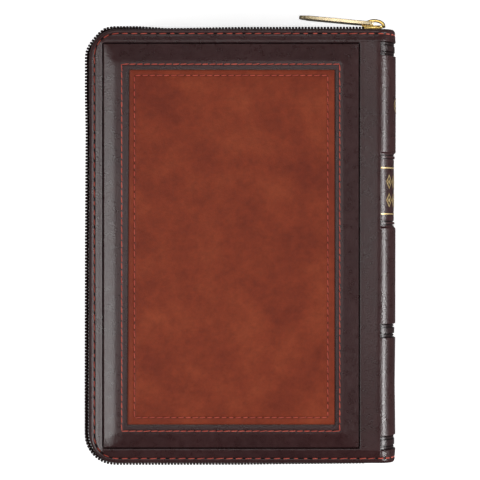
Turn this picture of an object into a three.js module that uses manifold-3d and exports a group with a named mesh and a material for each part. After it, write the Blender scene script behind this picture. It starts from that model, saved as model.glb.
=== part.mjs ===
// Zip-around bible in a two-tone leather case, closed and lying on its front cover.
// Millimetres. X runs from the fore-edge to the spine, Y from the tail to the head, Z up.
// The origin is the middle of the front cover's flat face, so the back cover is on top.
// Heights inside the two halves are measured from the book's middle plane outwards.
import * as THREE from 'three';
import { mergeVertices } from 'three/addons/utils/BufferGeometryUtils.js';
import Module from 'manifold-3d';

// ---------------------------------------------------------------- driving dimensions
const THICKNESS = 35; // over the two padded covers
const GAP = 0.1; // between layers that lie on each other
const CURVE = 4; // segments in an eighth of a circle

// The text block: leaves between x0 and x1, rounded at the two fore-edge corners.
const LEAF = { x0: -60, x1: 61.7, y: 93, corner: 6 };
const LEAVES_HALF = 12.4; // half the thickness of all the leaves
const FLYLEAF = 0.3;
const OUTER_SECTION = 2;
const INNER_SECTION = 2.5;
const RIBBON = { width: 6, thick: 0.25, x: 22, head: 94, tail: 98 };
const BLOCK_ROUND = 4.5; // how far the rounded spine of the block stands out
const LINING_REACH = Math.PI * 0.36; // the lining on that spine stops short of the turning leaves

// A cover, from the inside out: lining, board, foam, leather with an inlaid panel.
const LINING = 0.5;
const BOARD = 1.3;
const FOAM = 1.8;
const LEATHER = 1;
const COVER = { x0: -70.4, x1: 57.8, y: 102.4, corner: 12 };
const PLATEAU = { x0: -56.3, x1: 49.3, y0: -87.7, y1: 87.8, corner: 3 };
const SLOPE = 7.2; // width of the rounded shoulder between plateau and crease
const BORDER_TOP = 14.9; // outer face of the thin border round the padded middle
const INLAY = { x0: -51.9, x1: 45, y0: -84.4, y1: 82.7, corner: 2 };
const INLAY_GAP = 0.15;

// Sewing thread, laid flush in a groove on the padded middle and on top of the border.
const THREAD = { width: 0.5, thick: 0.35, groove: 0.7, depth: 0.5 };
const EDGE_SEAM = { x0: -68.5, y: 100, corner: 9.4 };
const FRAME_SEAM = { x0: -55.4, x1: 47.1, y0: -87.3, y1: 85.2, corner: 2.5 };
const INLAY_SEAM = { x0: -49.4, x1: 41.5, y0: -80.9, y1: 79.9, corner: 2 };

// The spine: a half-oval leather case over a stiffener, with raised bands.
const SPINE = { x: 64.2, deep: 10, half: 14.5, y: 102.4 };
const STIFFENER = 0.8;
const BAND_RISE = 0.45;
const BANDS = [
  { y: 92.5, width: 2.4 },
  { y: 41.8, width: 1.2 },
  { y: 10.6, width: 1.2 },
  { y: -40.5, width: 2.4 },
  { y: -92.5, width: 2.4 },
];
const HINGE_STRIP = { x0: 58.1, x1: 63.9 };

// The zipper round three sides: coils meet at the middle plane with the slider's post between.
const COIL = { x0: -74, y: 103.95, corner: 14, width: 2.2, near: 0.8, far: 3, end: 59.8 };
const TAPE = { thick: 0.6, near: 3.3, end: 62, flange: 7.5 };
const STOP = { x0: 60.1, x1: 62.1 };
const SLIDER = { x0: 58.6, x1: 69.7, chainHalf: 3.4, mouthHalf: 4.4, plate: 0.6 };
const SLOT = { y0: 101.4, y1: 104.15 }; // the slot that the coils run in
const POST = { x0: 63.2, x1: 65, half: 0.45 }; // close to the hinge lines, so it swings clear
const CROWN = { x: 64.2, y: 104.45, outerA: 5.3, outerB: 3.55, innerA: 3.6, innerB: 2.7, half: 1.2 };
const PULL = { x: 64.6, y: 105.85, length: 36.2, width: 7.5, thick: 1.7, tilt: 5.3 };
const EYE = { from: 0.65, to: 6.6, half: 1.9 };

// ---------------------------------------------------------------- finishes
const finish = (color, roughness, metalness = 0) =>
  new THREE.MeshStandardMaterial({ color, roughness, metalness });
const FRAME_LEATHER = () => finish(0x4a3438, 0.5);
const INLAY_LEATHER = () => finish(0x7c3c2c, 0.5);
const THREAD_FINISH = () => finish(0x9c4238, 0.8);
const PAPER = () => finish(0xe9e2cf, 0.85);
const BOARD_FINISH = () => finish(0x8d8272, 0.9);
const FOAM_FINISH = () => finish(0xcfcabf, 0.95);
const LINING_FINISH = () => finish(0x3c2a2d, 0.7);
const CLOTH = () => finish(0x583c3a, 0.9);
const SATIN = () => finish(0x7a2430, 0.6);
const COIL_FINISH = () => finish(0x2a1716, 0.5);
const GOLD = () => finish(0xd9b36c, 0.2, 1);

// ---------------------------------------------------------------- shapes and solids
const wasm = await Module();
wasm.setup();

function toSolid(geometry) {
  const bare = geometry.clone();
  bare.deleteAttribute('normal');
  bare.deleteAttribute('uv');
  const merged = mergeVertices(bare, 1e-4);
  const vertProperties = merged.attributes.position.array;
  return new wasm.Manifold(new wasm.Mesh({ numProp: 3, vertProperties, triVerts: merged.index.array }));
}

function toGeometry(solid) {
  const { vertProperties, triVerts } = solid.getMesh();
  const geometry = new THREE.BufferGeometry();
  geometry.setAttribute('position', new THREE.BufferAttribute(vertProperties, 3));
  geometry.setIndex(new THREE.BufferAttribute(triVerts, 1));
  geometry.computeVertexNormals();
  return geometry;
}

const join = (...parts) => toGeometry(parts.map(toSolid).reduce((whole, part) => whole.add(part)));
const cut = (body, ...tools) =>
  toGeometry(tools.map(toSolid).reduce((whole, tool) => whole.subtract(tool), toSolid(body)));

// A rectangle with its two fore-edge corners rounded, and its spine corners too if asked.
function roundedRectangle(x0, x1, y0, y1, r, spineCorner = r) {
  const shape = new THREE.Shape();
  const s = spineCorner;
  shape.moveTo(x0 + r, y0);
  shape.lineTo(x1 - s, y0);
  if (s > 0) shape.absarc(x1 - s, y0 + s, s, -Math.PI / 2, 0, false);
  shape.lineTo(x1, y1 - s);
  if (s > 0) shape.absarc(x1 - s, y1 - s, s, 0, Math.PI / 2, false);
  shape.lineTo(x0 + r, y1);
  shape.absarc(x0 + r, y1 - r, r, Math.PI / 2, Math.PI, false);
  shape.lineTo(x0, y0 + r);
  shape.absarc(x0 + r, y0 + r, r, Math.PI, 1.5 * Math.PI, false);
  return shape;
}

const boxShape = ({ x0, x1, y0, y1, corner }, grow = 0) =>
  roundedRectangle(x0 - grow, x1 + grow, y0 - grow, y1 + grow, corner + grow);

// A closed ring of the given width, centred on a rounded rectangle.
function ringShape(box, width) {
  const ring = boxShape(box, width / 2);
  ring.holes.push(boxShape(box, -width / 2));
  return ring;
}

// A strip along head, fore-edge and tail, its outer line at x0 and +-y, open at the spine.
function threeSidedShape(x0, y, corner, width, end) {
  const inner = corner - width;
  const shape = new THREE.Shape();
  shape.moveTo(end, -y);
  shape.lineTo(end, width - y);
  shape.lineTo(x0 + corner, width - y);
  shape.absarc(x0 + corner, corner - y, inner, 1.5 * Math.PI, Math.PI, true);
  shape.lineTo(x0 + width, y - corner);
  shape.absarc(x0 + corner, y - corner, inner, Math.PI, Math.PI / 2, true);
  shape.lineTo(end, y - width);
  shape.lineTo(end, y);
  shape.lineTo(x0 + corner, y);
  shape.absarc(x0 + corner, y - corner, corner, Math.PI / 2, Math.PI, false);
  shape.lineTo(x0, corner - y);
  shape.absarc(x0 + corner, corner - y, corner, Math.PI, 1.5 * Math.PI, false);
  return shape;
}

// Half an oval ring in the X-Z plane, round side towards the spine.
function spineShape(grow, thick) {
  const [a, b] = [SPINE.deep + grow, SPINE.half + grow];
  const shape = new THREE.Shape();
  shape.absellipse(SPINE.x, 0, a, b, -Math.PI / 2, Math.PI / 2, false, 0);
  shape.absellipse(SPINE.x, 0, a - thick, b - thick, Math.PI / 2, -Math.PI / 2, true, 0);
  return shape;
}

// A shape in the X-Y plane made solid between two heights.
function plate(shape, z0, z1) {
  const options = { depth: z1 - z0, bevelEnabled: false, curveSegments: CURVE };
  return new THREE.ExtrudeGeometry(shape, options).translate(0, 0, z0);
}

// A shape drawn in the X-Z plane made solid between two places along Y.
function bar(shape, y0, y1, curveSegments = CURVE) {
  const options = { depth: y1 - y0, bevelEnabled: false, curveSegments };
  return new THREE.ExtrudeGeometry(shape, options).rotateX(Math.PI / 2).translate(0, y1, 0);
}

// A padded form: the flat top is the given shape, and a quarter-round shoulder spreads to the base.
function padded(shape, base, top, spread) {
  const options = {
    depth: 1, bevelEnabled: true, bevelThickness: top - base, bevelSize: spread,
    bevelSegments: 4, curveSegments: CURVE,
  };
  const form = new THREE.ExtrudeGeometry(shape, options).translate(0, 0, base - 1);
  const half = 200;
  const below = new THREE.BoxGeometry(half, 2 * half, half).translate(0, 0, base - half / 2);
  return cut(form, below);
}

function mesh(name, geometry, material) {
  const piece = new THREE.Mesh(geometry, material);
  piece.name = name;
  return piece;
}

// ---------------------------------------------------------------- text block
const leaves = (z0, z1) =>
  plate(roundedRectangle(LEAF.x0, LEAF.x1, -LEAF.y, LEAF.y, LEAF.corner, 0), z0, z1);

// Heights of the loose leaves at each side, from the cover inwards.
const FLY_TOP = LEAVES_HALF;
const OUTER_TOP = FLY_TOP - FLYLEAF - GAP;
const INNER_TOP = OUTER_TOP - OUTER_SECTION - GAP;
const BLOCK_TOP = INNER_TOP - INNER_SECTION - GAP - RIBBON.thick - GAP;

// The rounded back of the block, bowed out towards the spine by the given depth. With a
// thickness it is a skin over that back, reaching the given angle to each side.
function roundedBack(half, depth, thick = 0, reach = Math.PI / 2) {
  const x = LEAF.x1 + 0.3;
  const shape = new THREE.Shape();
  shape.absellipse(x, 0, depth, half, -reach, reach, false, 0);
  if (thick) shape.absellipse(x, 0, depth - thick, half - thick, reach, -reach, true, 0);
  return shape;
}

function textBlock(group) {
  const middle = leaves(-BLOCK_TOP, BLOCK_TOP);
  const back = bar(roundedBack(LEAVES_HALF, BLOCK_ROUND), -LEAF.y, LEAF.y);
  const bridge = new THREE.BoxGeometry(2, 2 * LEAF.y, 2 * BLOCK_TOP).translate(LEAF.x1, 0, 0);
  group.add(mesh('page_block', join(middle, bridge, back), PAPER()));

  const wrapped = roundedBack(LEAVES_HALF + 0.6, BLOCK_ROUND + 0.6, 0.5, LINING_REACH);
  group.add(mesh('spine_lining', bar(wrapped, -88, 88), CLOTH()));

  const roll = roundedBack(LEAVES_HALF - 0.2, BLOCK_ROUND + 0.4, 1.7);
  group.add(mesh('headband', bar(roll, LEAF.y + GAP, LEAF.y + 1.7), SATIN()));
  group.add(mesh('tailband', bar(roll, -LEAF.y - 1.7, -LEAF.y - GAP), SATIN()));

  const { width, thick, x, head, tail } = RIBBON;
  const strip = new THREE.Shape();
  strip.moveTo(x, head);
  strip.lineTo(x - width, head);
  strip.lineTo(x - width, -tail + width / 2);
  strip.lineTo(x, -tail);
  group.add(mesh('ribbon_marker', plate(strip, BLOCK_TOP + GAP, BLOCK_TOP + GAP + thick), SATIN()));
}

function looseLeaves(group, side) {
  group.add(mesh(`${side}_flyleaf`, leaves(FLY_TOP - FLYLEAF, FLY_TOP), PAPER()));
  group.add(mesh(`${side}_outer_pages`, leaves(OUTER_TOP - OUTER_SECTION, OUTER_TOP), PAPER()));
  group.add(mesh(`${side}_inner_pages`, leaves(INNER_TOP - INNER_SECTION, INNER_TOP), PAPER()));
}

// ---------------------------------------------------------------- spine
function spine(group) {
  const shell = bar(spineShape(0, LEATHER), -SPINE.y, SPINE.y, 8);
  const ribs = BANDS.map(({ y, width }) =>
    bar(spineShape(BAND_RISE, BAND_RISE + LEATHER / 2), y - width / 2, y + width / 2, 8));
  group.add(mesh('spine_leather', join(shell, ...ribs), FRAME_LEATHER()));

  const inside = spineShape(-LEATHER - GAP, STIFFENER);
  group.add(mesh('spine_stiffener', bar(inside, 3 - SPINE.y, SPINE.y - 3, 8), BOARD_FINISH()));

  const thread = spineShape(GAP + THREAD.thick, THREAD.thick);
  const seam = (y) => bar(thread, y - THREAD.width / 2, y + THREAD.width / 2, 8);
  group.add(mesh('spine_head_stitching', seam(EDGE_SEAM.y), THREAD_FINISH()));
  group.add(mesh('spine_tail_stitching', seam(-EDGE_SEAM.y), THREAD_FINISH()));
}

function hingeLeather(group, side) {
  const { x0, x1 } = HINGE_STRIP;
  const strip = new THREE.BoxGeometry(x1 - x0, 2 * SPINE.y, LEATHER);
  strip.translate((x0 + x1) / 2, 0, SPINE.half - LEATHER / 2);
  group.add(mesh(`${side}_hinge_leather`, strip, FRAME_LEATHER()));
}

// ---------------------------------------------------------------- cover, one for each side
const LINING_Z = LEAVES_HALF + 2 * GAP;
const BOARD_Z = LINING_Z + LINING + GAP;
const FOAM_Z = BOARD_Z + BOARD + GAP;
const TOP = THICKNESS / 2;

function coverLayers(group, side) {
  const { x0, x1, y, corner } = COVER;
  const border = plate(roundedRectangle(x0, x1, -y, y, corner, 0.5), BORDER_TOP - LEATHER, BORDER_TOP);
  const middle = padded(boxShape(PLATEAU), BORDER_TOP - LEATHER / 2, TOP, SLOPE);
  const hollow = padded(boxShape(PLATEAU), BORDER_TOP - LEATHER - GAP, TOP - LEATHER, SLOPE - LEATHER);
  const window = plate(boxShape(INLAY, INLAY_GAP), BOARD_Z, TOP + 1);
  const groove = (seam) => plate(ringShape(seam, THREAD.groove), TOP - THREAD.depth, TOP + 1);
  const skin = toGeometry(toSolid(border).add(toSolid(middle)));
  const frame = cut(skin, hollow, window, groove(FRAME_SEAM));
  group.add(mesh(`${side}_cover_leather`, frame, FRAME_LEATHER()));

  const panel = cut(plate(boxShape(INLAY), TOP - LEATHER, TOP), groove(INLAY_SEAM));
  group.add(mesh(`${side}_cover_inlay`, panel, INLAY_LEATHER()));

  const inset = SLOPE - 2.2; // the board and the foam stop short of the leather's shoulder
  const foam = padded(boxShape(PLATEAU), FOAM_Z, FOAM_Z + FOAM, inset);
  group.add(mesh(`${side}_cover_foam`, foam, FOAM_FINISH()));
  const board = plate(boxShape(PLATEAU, inset), BOARD_Z, BOARD_Z + BOARD);
  group.add(mesh(`${side}_cover_board`, board, BOARD_FINISH()));

  const paste = roundedRectangle(x0 + 1, x1, 1 - y, y - 1, corner - 1, 0.5);
  group.add(mesh(`${side}_cover_lining`, plate(paste, LINING_Z, LINING_Z + LINING), LINING_FINISH()));
}

function coverSeams(group, side) {
  const { width, thick } = THREAD;
  const flush = TOP - 0.05;
  const loop = (seam) => plate(ringShape(seam, width), flush - thick, flush);
  group.add(mesh(`${side}_frame_stitching`, loop(FRAME_SEAM), THREAD_FINISH()));
  group.add(mesh(`${side}_inlay_stitching`, loop(INLAY_SEAM), THREAD_FINISH()));

  const { x0, y, corner } = EDGE_SEAM;
  const line = threeSidedShape(x0 - width / 2, y + width / 2, corner, width, COVER.x1 - 0.3);
  const onTop = BORDER_TOP + 0.05;
  group.add(mesh(`${side}_edge_stitching`, plate(line, onTop, onTop + thick), THREAD_FINISH()));
}

// ---------------------------------------------------------------- zipper
function zipperHalf(group, side) {
  const { x0, y, corner, width, near, far, end } = COIL;
  const coil = plate(threeSidedShape(x0, y, corner, width, end), near, far);
  group.add(mesh(`${side}_zipper_coil`, coil, COIL_FINISH()));

  const inwards = (width - TAPE.thick) / 2; // the tape runs through the middle of the coil
  const line = (broad, spineEnd) =>
    threeSidedShape(x0 + inwards, y - inwards, corner - inwards, broad, spineEnd);
  const top = BOARD_Z + TAPE.thick;
  const wall = plate(line(TAPE.thick, TAPE.end), TAPE.near, top);
  const flange = plate(line(TAPE.flange, COVER.x1), BOARD_Z, top);
  group.add(mesh(`${side}_zipper_tape`, join(wall, flange), CLOTH()));

  for (const [place, sign] of [['head', 1], ['tail', -1]]) {
    const stop = new THREE.BoxGeometry(STOP.x1 - STOP.x0, width, far - near);
    stop.translate((STOP.x0 + STOP.x1) / 2, sign * (y - width / 2), (near + far) / 2);
    group.add(mesh(`${side}_${place}_stop`, stop, GOLD()));
  }
}

// The slider straddles both coils: two plates, the post that parts the coils, and the crown.
function slider(group) {
  const { x0, x1, chainHalf, mouthHalf, plate: thick } = SLIDER;
  const outline = new THREE.Shape();
  outline.moveTo(x0, -chainHalf + 1);
  outline.quadraticCurveTo(x0, -chainHalf, x0 + 1, -chainHalf);
  outline.lineTo(x1 - 4, -mouthHalf);
  outline.quadraticCurveTo(x1, -mouthHalf, x1, 0);
  outline.quadraticCurveTo(x1, mouthHalf, x1 - 4, mouthHalf);
  outline.lineTo(x0 + 1, chainHalf);
  outline.quadraticCurveTo(x0, chainHalf, x0, chainHalf - 1);
  const outer = bar(outline, SLOT.y1, SLOT.y1 + thick);
  const inner = bar(outline, SLOT.y0 - thick, SLOT.y0);

  const height = SLOT.y1 - SLOT.y0 + thick;
  const post = new THREE.BoxGeometry(POST.x1 - POST.x0, height, 2 * POST.half);
  post.translate((POST.x0 + POST.x1) / 2, (SLOT.y0 + SLOT.y1) / 2, 0);

  const arch = new THREE.Shape();
  arch.absellipse(CROWN.x, CROWN.y, CROWN.outerA, CROWN.outerB, 0, Math.PI, false, 0);
  arch.absellipse(CROWN.x, CROWN.y, CROWN.innerA, CROWN.innerB, Math.PI, 0, true, 0);
  const crown = plate(arch, -CROWN.half, CROWN.half);
  group.add(mesh('zipper_slider', join(outer, inner, post, crown), GOLD()));
}

// The pull tab, its round eye bar on the axis, lying along the head edge.
function pull(group) {
  const { length, width, thick, tilt } = PULL;
  const tab = roundedRectangle(-length, EYE.from, -width / 2, width / 2, 2.5, 0.8);
  tab.holes.push(roundedRectangle(-EYE.to, -EYE.from, -EYE.half, EYE.half, 0.8, 0.4));
  const piece = mesh('zipper_pull', bar(tab, -thick / 2, thick / 2), GOLD());
  piece.position.set(PULL.x, PULL.y, 0);
  piece.rotation.z = THREE.MathUtils.degToRad(-tilt);
  group.add(piece);
}

// ---------------------------------------------------------------- the whole book
const bible = new THREE.Group();
bible.position.z = THICKNESS / 2;
textBlock(bible);
spine(bible);
slider(bible);
pull(bible);

for (const [side, sign] of [['back', 1], ['front', -1]]) {
  const half = new THREE.Group();
  half.scale.z = sign;
  looseLeaves(half, side);
  coverLayers(half, side);
  coverSeams(half, side);
  hingeLeather(half, side);
  zipperHalf(half, side);
  bible.add(half);
}

export default bible;
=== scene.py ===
import math

import bmesh
import bpy
from mathutils import Matrix, Vector, noise


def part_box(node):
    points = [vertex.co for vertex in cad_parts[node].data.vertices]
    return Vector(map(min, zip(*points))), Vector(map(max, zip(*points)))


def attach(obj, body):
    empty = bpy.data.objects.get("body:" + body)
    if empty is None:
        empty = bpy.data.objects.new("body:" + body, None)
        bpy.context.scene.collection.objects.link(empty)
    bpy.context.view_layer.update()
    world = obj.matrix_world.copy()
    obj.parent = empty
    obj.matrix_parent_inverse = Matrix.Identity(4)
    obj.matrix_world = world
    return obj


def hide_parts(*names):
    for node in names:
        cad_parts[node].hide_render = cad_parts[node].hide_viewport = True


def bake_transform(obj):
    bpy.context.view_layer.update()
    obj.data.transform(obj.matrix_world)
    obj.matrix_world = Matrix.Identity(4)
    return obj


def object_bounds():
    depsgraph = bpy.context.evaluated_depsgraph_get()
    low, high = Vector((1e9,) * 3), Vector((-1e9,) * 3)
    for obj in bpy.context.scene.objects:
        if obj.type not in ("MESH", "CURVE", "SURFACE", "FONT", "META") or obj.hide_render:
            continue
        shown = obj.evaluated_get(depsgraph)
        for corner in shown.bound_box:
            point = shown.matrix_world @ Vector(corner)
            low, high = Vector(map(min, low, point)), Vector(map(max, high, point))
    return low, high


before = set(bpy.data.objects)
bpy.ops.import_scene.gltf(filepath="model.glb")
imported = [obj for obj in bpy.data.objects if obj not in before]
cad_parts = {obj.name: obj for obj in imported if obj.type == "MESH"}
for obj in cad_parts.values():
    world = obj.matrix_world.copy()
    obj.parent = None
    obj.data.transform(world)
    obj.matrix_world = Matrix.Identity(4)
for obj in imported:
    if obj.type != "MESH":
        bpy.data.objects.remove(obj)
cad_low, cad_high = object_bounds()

# ------------------------------------------------------------------ cover leather
# Each cover wears one skin of dark brown-red leather over a foam pad. It is glued down round
# a padded middle, pressed into a crease, and turned in round a thin edge. Lengths are in
# millimetres here, with heights measured from the middle of the closed book outwards.
MM = 0.001
MIDDLE = cad_high.z / 2
SIDES = (("back", 1), ("front", -1))

CREASE = (-64.3, 56.4, -95.4, 95.2, 0.5)
FRAME_SEAM = (-55.4, 47.1, -87.3, 85.2, 0.9)
WINDOW = (-52.05, 45.15, -84.55, 82.85, 0.8)
EDGE_SEAM = (-68.5, 56.7, -100.6, 100.0, 10.6)
SEAM_X = 56.7
SKIN = 0.65
CREASE_GROOVE = ((-0.3, 15.06), (-0.12, 14.5), (0.0, 14.28), (0.2, 14.5),
                 (0.36, 14.84), (0.6, 14.93), (0.9, 14.95), (2.4, 14.86))
EDGE_PROFILE = ((-5.0, 14.95), (-3.8, 14.94), (-3.2, 14.65), (-1.9, 14.34), (-0.8, 13.98),
                (-0.45, 13.78), (-0.2, 13.42), (0.0, 13.25), (0.25, 13.38), (0.45, 13.64),
                (0.65, 13.7), (1.2, 13.47), (1.6, 13.1), (1.95, 12.5), (2.25, 11.8),
                (2.43, 11.1), (2.5, 10.4), (2.35, 9.95), (1.9, 9.85))


def between(table, at):
    """The height that a profile table gives at one distance."""
    if at <= table[0][0]:
        return table[0][1]
    for (a, low), (b, high) in zip(table, table[1:]):
        if at <= b:
            return low + (high - low) * (at - a) / (b - a) if b > a else high
    return table[-1][1]


def grown(box, by):
    x0, x1, y0, y1, corner = box
    return (x0 - by, x1 + by, y0 - by, y1 + by, max(corner + by, 0.3))


def mixed(a, b, share):
    return tuple(p + (q - p) * share for p, q in zip(a, b))


def arc(cx, cy, r, start, steps=8):
    turns = [math.radians(start + 90 * i / steps) for i in range(steps + 1)]
    return [(cx + r * math.cos(t), cy + r * math.sin(t)) for t in turns]


def run(a, b, count):
    """Points strictly between two points."""
    return [(a[0] + (b[0] - a[0]) * i / count, a[1] + (b[1] - a[1]) * i / count)
            for i in range(1, count)]


def outline(box, across=44, up=64):
    """A closed rounded rectangle, with the same number of points whatever its size."""
    x0, x1, y0, y1, r = box
    arcs = [arc(x1 - r, y0 + r, r, -90), arc(x1 - r, y1 - r, r, 0),
            arc(x0 + r, y1 - r, r, 90), arc(x0 + r, y0 + r, r, 180)]
    points = []
    for here, there, count in zip(arcs, arcs[1:] + arcs[:1], (up, across, up, across)):
        points += here + run(here[-1], there[0], count)
    return points


def rail(box, across=44, up=64):
    """The head, fore-edge and tail of such a rectangle, open at the spine."""
    x0, x1, y0, y1, r = box
    head, tail = arc(x0 + r, y1 - r, r, 90), arc(x0 + r, y0 + r, r, 180)
    return ([(x1, y1)] + run((x1, y1), head[0], across) + head + run(head[-1], tail[0], up)
            + tail + run(tail[-1], (x1, y0), across) + [(x1, y0)])


def loft(bm, rows, closed, ring=False, capped=False, pressed_and_shade=None):
    """One skin drawn through rows of points. A ring joins its last row to its first."""
    # Each row carries a mark, kept in a vertex layer, for painted shade and pressed leather.
    layer = bm.verts.layers.float.get("pressed_and_shade") or bm.verts.layers.float.new("pressed_and_shade")
    wall = rows + rows[:1] if ring else rows
    marks = (pressed_and_shade or [0.0] * len(rows)) + [pressed_and_shade[0] if pressed_and_shade else 0.0]
    current = [bm.verts.new(p) for p in wall[0]]
    everything = list(current)
    edges = [bm.edges.new(pair) for pair in zip(current, current[1:] + current[:1] * closed)]
    first = list(edges)
    for vert in current:
        vert[layer] = marks[0]
    for number, row in enumerate(wall[1:], 1):
        made = bmesh.ops.extrude_edge_only(bm, edges=edges)["geom"]
        new = {v for v in made if isinstance(v, bmesh.types.BMVert)}
        current = [next(e.other_vert(v) for e in v.link_edges if e.other_vert(v) in new)
                   for v in current]
        for vert, point in zip(current, row):
            vert.co = point
            vert[layer] = marks[number]
        edges = [e for e in made if isinstance(e, bmesh.types.BMEdge)
                 and e.verts[0] in new and e.verts[1] in new]
        everything += current
    if capped and closed:
        for loop in (first, edges):
            bmesh.ops.holes_fill(bm, edges=loop, sides=0)
    bmesh.ops.remove_doubles(bm, verts=everything, dist=1e-4)
    if capped and not closed:
        alive = {v for v in everything if v.is_valid}
        rim = [e for e in bm.edges if e.is_boundary and e.verts[0] in alive]
        bmesh.ops.holes_fill(bm, edges=rim, sides=0)


def placed(sign=1):
    """The turn from millimetres about the middle of the book to metres in the frame."""
    return Matrix.Translation((0, 0, MIDDLE)) @ Matrix.Diagonal((MM, MM, sign * MM, 1))


def piece(name, bm, finish, sign=1, crisp=40):
    """A finished mesh object, normals outwards, in the frame's metres."""
    bmesh.ops.transform(bm, matrix=placed(sign), verts=bm.verts)
    bmesh.ops.recalc_face_normals(bm, faces=bm.faces)
    data = bpy.data.meshes.new(name)
    bm.to_mesh(data)
    bm.free()
    data.shade_smooth()
    data.set_sharp_from_angle(angle=math.radians(crisp))
    data.materials.append(finish)
    made = bpy.data.objects.new(name, data)
    bpy.context.scene.collection.objects.link(made)
    return made


def material(name, roughness, metallic=0.0):
    made = bpy.data.materials.new(name)
    made.use_nodes = True
    shader = made.node_tree.nodes["Principled BSDF"]
    shader.inputs["Roughness"].default_value = roughness
    shader.inputs["Metallic"].default_value = metallic
    return made, shader


def node(owner, kind, inputs=None, **settings):
    made = owner.node_tree.nodes.new("ShaderNode" + kind)
    for key, value in settings.items():
        setattr(made, key, value)
    for key, value in (inputs or {}).items():
        made.inputs[key].default_value = value
    return made


def wire(owner, source, output, target, entry):
    owner.node_tree.links.new(source.outputs[output], target.inputs[entry])


def ramp(owner, source, output, stops):
    made = node(owner, "ValToRGB")
    elements = made.color_ramp.elements
    while len(elements) < len(stops):
        elements.new(0.5)
    for element, (place, color) in zip(elements, stops):
        element.position = place
        element.color = (*color, 1)
    wire(owner, source, output, made, "Fac")
    return made


def figured(name, roughness, kind, inputs, stops, strength, depth, metallic=0.0, waves=None,
            **settings):
    """A material coloured by one texture, and raised by it or by waves; and its main nodes."""
    made, shader = material(name, roughness, metallic)
    place = node(made, "TexCoord")
    figure = node(made, kind, inputs, **settings)
    output = "Distance" if kind == "TexVoronoi" else "Fac"
    wire(made, place, "Object", figure, "Vector")
    tint = ramp(made, figure, output, stops)
    wire(made, tint, "Color", shader, "Base Color")
    relief = node(made, "Bump", {"Strength": strength, "Distance": depth})
    ridges = figure
    if waves:
        direction, shape = waves
        ridges = node(made, "TexWave", shape, bands_direction=direction)
        wire(made, place, "Object", ridges, "Vector")
    wire(made, ridges, output, relief, "Height")
    wire(made, relief, "Normal", shader, "Normal")
    return made, shader, figure, tint


def facing(bm, faces, axis):
    """Turns a sheet so that its normals point along one axis."""
    bmesh.ops.recalc_face_normals(bm, faces=faces)
    if sum(f.normal[axis] for f in faces) < 0:
        bmesh.ops.reverse_faces(bm, faces=faces)


def leather(name, stops, blotch, fine, dark, roughness, grain=1500, bump=0.1, polish=0.3):
    """Dyed, pebble-grained leather, uneven in its shine, darker where it is pressed and with painted
    shade in its creases, channels and cut edges.
    """
    made, shader = material(name, roughness)
    shader.inputs["Specular IOR Level"].default_value = 0.55 if polish else 0.25
    shader.inputs["Coat Weight"].default_value = polish
    shader.inputs["Coat Roughness"].default_value = 0.2
    place = node(made, "TexCoord")
    cloud = node(made, "TexNoise", {"Scale": blotch, "Detail": 4, "Roughness": 0.6})
    speck = node(made, "TexNoise", {"Scale": fine, "Detail": 5, "Roughness": 0.7})
    pebble = node(made, "TexVoronoi", {"Scale": grain, "Randomness": 1.0})
    folds = node(made, "TexNoise", {"Scale": 420.0, "Detail": 3})
    for texture in (cloud, speck, pebble, folds):
        wire(made, place, "Object", texture, "Vector")
    base = ramp(made, cloud, "Fac", stops)
    dust = ramp(made, speck, "Fac", ((0.3, (0.72, 0.72, 0.72)), (0.7, (1.0, 1.0, 1.0))))
    full = node(made, "Mix", {0: 1.0}, data_type="RGBA", blend_type="MULTIPLY")
    wire(made, base, "Color", full, 6)
    wire(made, dust, "Color", full, 7)
    # Painted shade: the mark blends the colour towards the dark one in creases, sewn channels, cut
    # edges and sunken bands, where the leather is also pressed darker.
    mark = node(made, "Attribute", attribute_name="pressed_and_shade")
    color = node(made, "Mix", {7: (*dark, 1)}, data_type="RGBA")
    wire(made, mark, "Fac", color, 0)
    wire(made, full, 2, color, 6)
    wire(made, color, 2, shader, "Base Color")
    shine = node(made, "MapRange", {"From Min": 0.3, "From Max": 0.7,
                                    "To Min": roughness - 0.07, "To Max": roughness + 0.09})
    wire(made, speck, "Fac", shine, "Value")
    wire(made, shine, "Result", shader, "Roughness")
    grainy = node(made, "Bump", {"Strength": bump * 1.4, "Distance": 0.0003})
    wrinkled = node(made, "Bump", {"Strength": bump * 0.6, "Distance": 0.0006})
    wire(made, folds, "Fac", wrinkled, "Height")
    wire(made, pebble, "Distance", grainy, "Height")
    wire(made, wrinkled, "Normal", grainy, "Normal")
    wire(made, grainy, "Normal", shader, "Normal")
    return made


# The last colour is the painted shade and pressed darkening of creases, channels and cut edges.
frame_leather = leather("frame_leather",
                        ((0.3, (0.038, 0.0112, 0.012)), (0.7, (0.053, 0.0165, 0.0172))),
                        45.0, 260.0, (0.01, 0.004, 0.0045), 0.3, bump=0.22)


def uneven(x, y, z, amount, spread=0.045):
    """The slight waviness of leather that is glued down by hand."""
    return z + amount * noise.noise(Vector((x * spread, y * spread, z)))


def crease_height(x, y):
    """Height of the leather outside the crease round the padded middle."""
    x0, x1, y0, y1, _ = CREASE
    away = math.hypot(max(x0 - x, x - x1, 0), max(y0 - y, y - y1, 0))
    return between(CREASE_GROOVE, away)


def at_height(points, z, amount):
    return [(x, y, uneven(x, y, z, amount)) for x, y in points]


def shoulder(t, x, y):
    """Height on the slope, a share t of the way from the frame seam down to the crease."""
    x0, _, y0, y1, _ = FRAME_SEAM
    fore, ends = max(x0 - x, 0), max(y0 - y, y - y1, 0)
    full = min(max((fore / (fore + ends + 1e-6) - 0.4) / 0.2, 0), 1)
    round_fall = (t * t / 1.2 if t < 0.6 else t - 0.3) / 0.7
    straight_fall = (t * t / 0.36 if t < 0.18 else t - 0.09) * 0.86
    return 17.36 - 2.3 * (full * round_fall + (1 - full) * straight_fall)


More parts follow.
